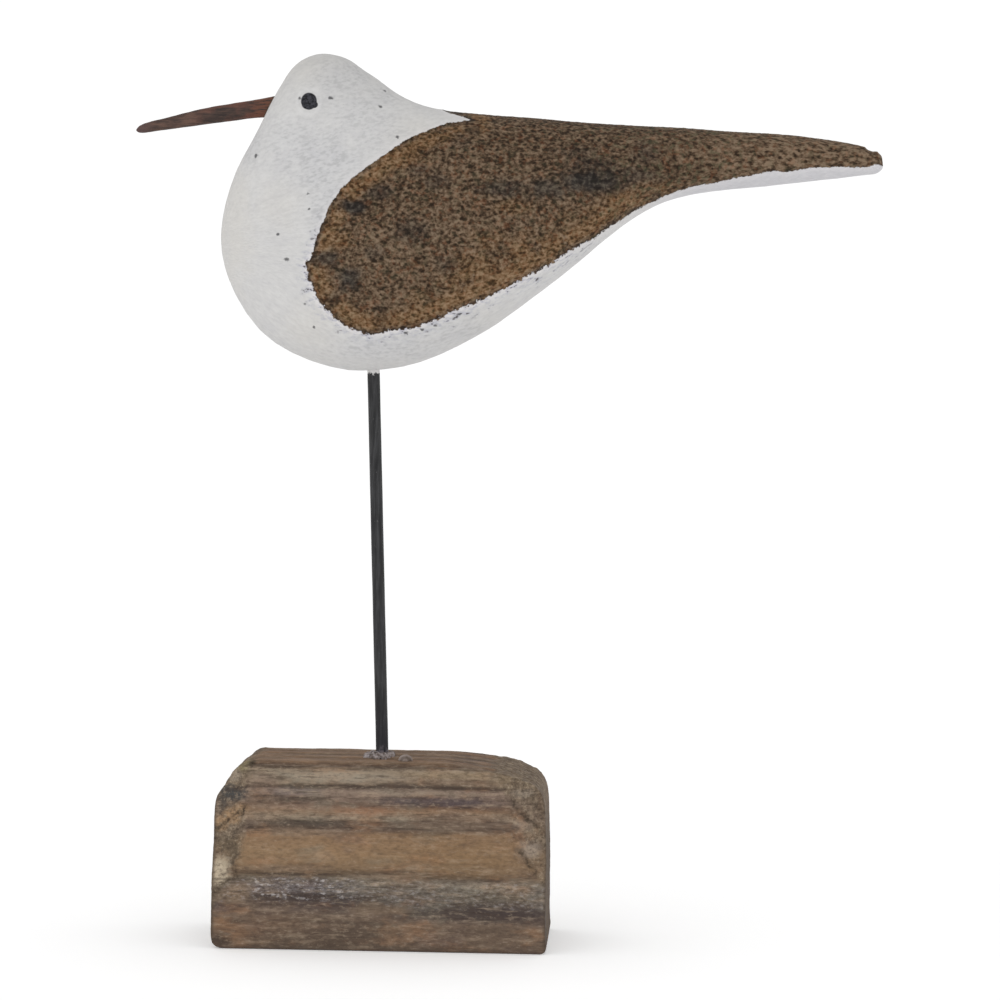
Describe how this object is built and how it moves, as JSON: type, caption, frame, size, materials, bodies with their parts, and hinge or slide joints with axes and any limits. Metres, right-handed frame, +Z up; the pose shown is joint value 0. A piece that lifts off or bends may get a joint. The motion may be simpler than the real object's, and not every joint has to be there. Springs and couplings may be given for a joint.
{
  "type": "shorebird carving on a stand",
  "caption": "Carved, painted wooden shorebird with a long thin bill, held on a thin steel rod set in a block of old timber; stands on a shelf as an ornament.",
  "frame": {"origin": "on the underside of the block, in the middle of its length and depth, on the surface it stands on", "axes": "+Z up; +X along the bird towards the tail, with the bill to -X; the picture looks along +Y at the bird's left side"},
  "size_m": [0.2486, 0.0554, 0.2952],
  "materials": {
    "old_timber": "weathered reclaimed softwood, dry and unvarnished, brown with grey and dark grain",
    "black_steel": "black steel bar, dull",
    "painted_wood": "matt off-white brushed paint, with the wings and back stippled brown over black",
    "dark_wood": "dark reddish-brown stained wood, low sheen"
  },
  "bodies": {
    "root": {"base_block": "old_timber", "leg_rod": "black_steel", "bird_body": "painted_wood", "bill": "dark_wood"}
  },
  "joints": []
}
